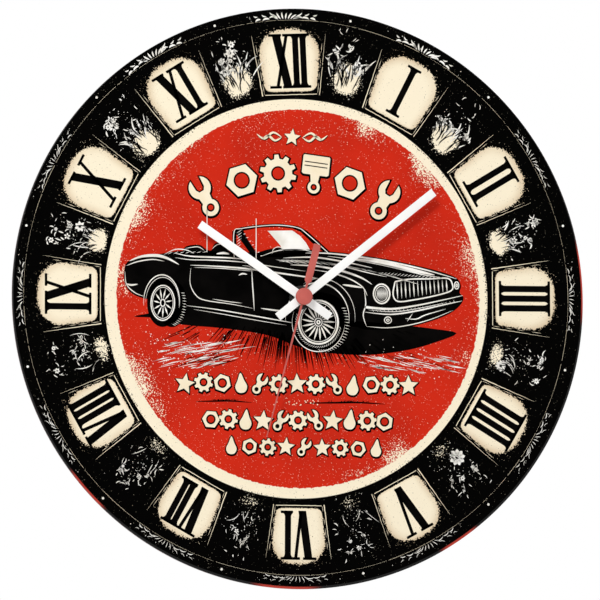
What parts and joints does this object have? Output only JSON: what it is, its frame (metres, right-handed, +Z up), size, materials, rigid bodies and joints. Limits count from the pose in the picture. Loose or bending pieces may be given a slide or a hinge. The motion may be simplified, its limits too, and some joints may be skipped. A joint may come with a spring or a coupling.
{
  "type": "advertising wall clock",
  "caption": "Flat round advertising wall clock: a printed board disc with baton hands, driven by a battery quartz movement on its back.",
  "frame": {"origin": "on the hand arbor's axis, at the wall plane: the rear face of the movement case", "axes": "+Z up, -Y out of the wall towards the viewer, +X to the viewer's right"},
  "size_m": [0.3, 0.0316, 0.3],
  "materials": {
    "red_board": "hardboard sealed with red satin paint, edge showing",
    "printed_face": "satin printed vinyl, black ground with red, cream and white ink",
    "hand_white": "white enamelled sheet",
    "hand_red": "red enamelled sheet",
    "case_plastic": "fine textured black moulding",
    "inner_plastic": "natural white acetal",
    "knob_plastic": "natural white moulding",
    "brass": "turned",
    "black_metal": "black lacquered",
    "zinc_steel": "zinc plated sheet",
    "copper_wire": "enamelled copper wire",
    "rubber": "matt",
    "ferrite": "matt sintered magnet",
    "circuit": "solder resist on laminate",
    "cell_sleeve": "glossy printed sleeve on a steel can"
  },
  "bodies": {
    "case": {"dial_board": "red_board", "dial_print": "printed_face", "rear_cover": "case_plastic", "front_case": "case_plastic", "middle_plate": "inner_plastic", "hanger_plate": "zinc_steel", "threaded_bushing": "brass", "rubber_gasket": "rubber", "flat_washer": "black_metal", "mounting_nut": "black_metal", "dry_cell": "cell_sleeve", "positive_contact": "zinc_steel", "negative_contact": "zinc_steel", "negative_spring": "zinc_steel", "circuit_board": "circuit", "quartz_crystal": "zinc_steel", "driver_chip": "case_plastic", "stator_plate": "zinc_steel", "coil_core": "zinc_steel", "coil_bobbin": "inner_plastic", "coil_winding": "copper_wire"},
    "sweep_hand": {"second_hand": "hand_red", "second_hand_cap": "hand_red", "seconds_arbor": "zinc_steel", "seconds_wheel": "inner_plastic"},
    "rotor": {"rotor_magnet": "ferrite", "rotor_pinion": "inner_plastic"},
    "fifth_wheel": {"fifth_wheel": "inner_plastic"},
    "third_wheel": {"third_wheel": "inner_plastic"},
    "centre_wheel": {"centre_wheel": "inner_plastic"},
    "minute_hand": {"minute_hand": "hand_white", "minute_pipe": "brass"},
    "minute_wheel": {"minute_wheel": "inner_plastic"},
    "hour_hand": {"hour_hand": "hand_white", "hour_wheel": "inner_plastic"},
    "setting_knob": {"setting_knob": "knob_plastic", "setting_wheel": "knob_plastic"}
  },
  "joints": [
    {"name": "second_hand_turn", "type": "hinge", "parent": "case", "child": "sweep_hand", "pos_m": [0, 0, 0], "axis": [0, 1, 0], "continuous": true},
    {"name": "rotor_turn", "type": "hinge", "parent": "case", "child": "rotor", "pos_m": [0.01408, 0, 0.00899], "axis": [0, 1, 0], "continuous": true},
    {"name": "fifth_wheel_turn", "type": "hinge", "parent": "case", "child": "fifth_wheel", "pos_m": [0.00713, 0, 0.00713], "axis": [0, 1, 0], "continuous": true},
    {"name": "third_wheel_turn", "type": "hinge", "parent": "case", "child": "third_wheel", "pos_m": [-0.00769, 0, 0.00769], "axis": [0, 1, 0], "continuous": true},
    {"name": "centre_wheel_turn", "type": "hinge", "parent": "case", "child": "centre_wheel", "pos_m": [0, 0, 0], "axis": [0, 1, 0], "continuous": true},
    {"name": "minute_hand_turn", "type": "hinge", "parent": "case", "child": "minute_hand", "pos_m": [0, 0, 0], "axis": [0, 1, 0], "continuous": true},
    {"name": "minute_wheel_turn", "type": "hinge", "parent": "case", "child": "minute_wheel", "pos_m": [-0.00945, 0, -0.00167], "axis": [0, 1, 0], "continuous": true},
    {"name": "hour_hand_turn", "type": "hinge", "parent": "case", "child": "hour_hand", "pos_m": [0, 0, 0], "axis": [0, 1, 0], "continuous": true},
    {"name": "setting_knob_turn", "type": "hinge", "parent": "case", "child": "setting_knob", "pos_m": [-0.02009, 0, -0.00354], "axis": [0, 1, 0], "continuous": true}
  ],
  "couplings": [
    {"joint": "rotor_turn", "follows": "second_hand_turn", "ratio": 30},
    {"joint": "fifth_wheel_turn", "follows": "second_hand_turn", "ratio": -6},
    {"joint": "third_wheel_turn", "follows": "second_hand_turn", "ratio": -0.13333},
    {"joint": "centre_wheel_turn", "follows": "second_hand_turn", "ratio": 0.016667},
    {"joint": "minute_wheel_turn", "follows": "minute_hand_turn", "ratio": -0.33333},
    {"joint": "hour_hand_turn", "follows": "minute_hand_turn", "ratio": 0.083333},
    {"joint": "setting_knob_turn", "follows": "minute_hand_turn", "ratio": 0.66667}
  ]
}
